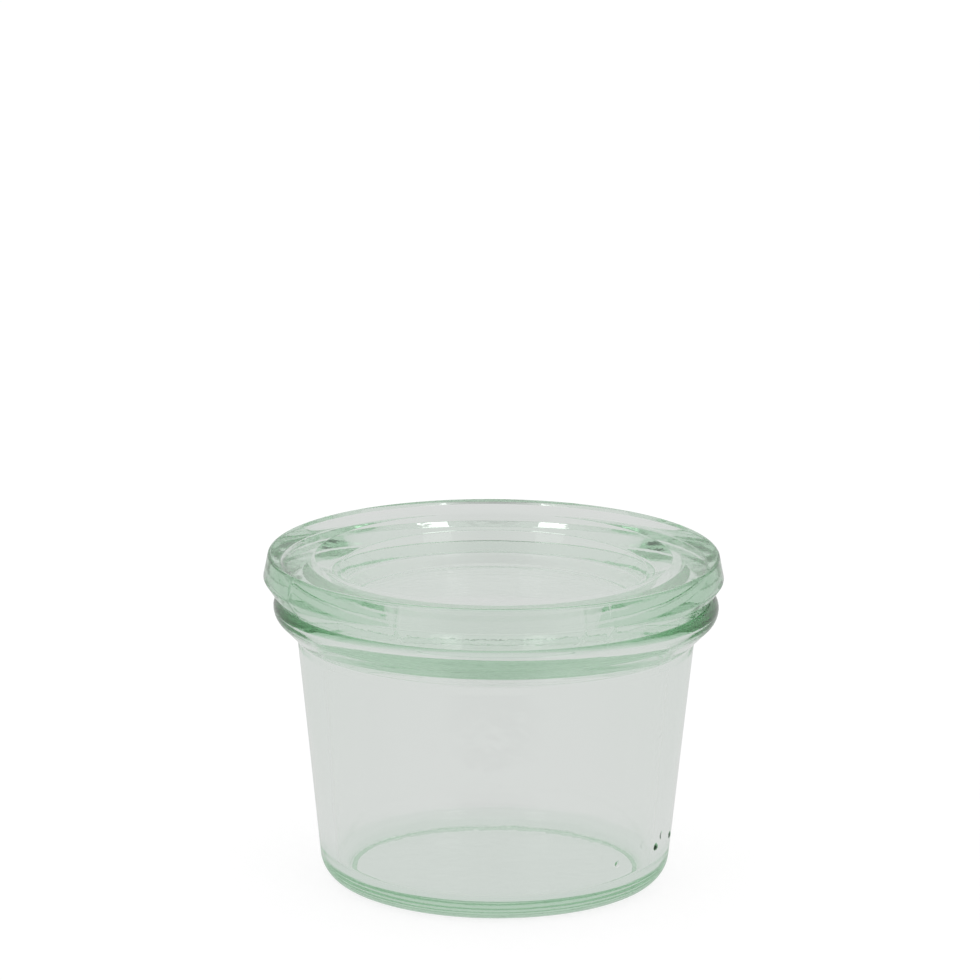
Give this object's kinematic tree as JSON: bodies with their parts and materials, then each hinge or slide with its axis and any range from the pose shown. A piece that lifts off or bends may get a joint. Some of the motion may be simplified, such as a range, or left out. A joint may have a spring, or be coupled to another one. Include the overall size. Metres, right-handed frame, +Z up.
{
  "type": "glass canning jar",
  "caption": "Small low tapered canning jar of pale green pressed glass, with a flange round the mouth and a loose recessed glass lid.",
  "frame": {"origin": "centre of the ring that the jar stands on, at the level of the table", "axes": "+Z up along the axis of the jar, through the lid; +X and +Y level; -Y is the side seen in the picture"},
  "size_m": [0.0699, 0.07, 0.0507],
  "materials": {
    "jar_glass": "fire-polished pressed glass, pale green",
    "lid_glass": "fire-polished pressed glass, pale green"
  },
  "bodies": {
    "root": {"jar": "jar_glass", "lid": "lid_glass"}
  },
  "joints": []
}
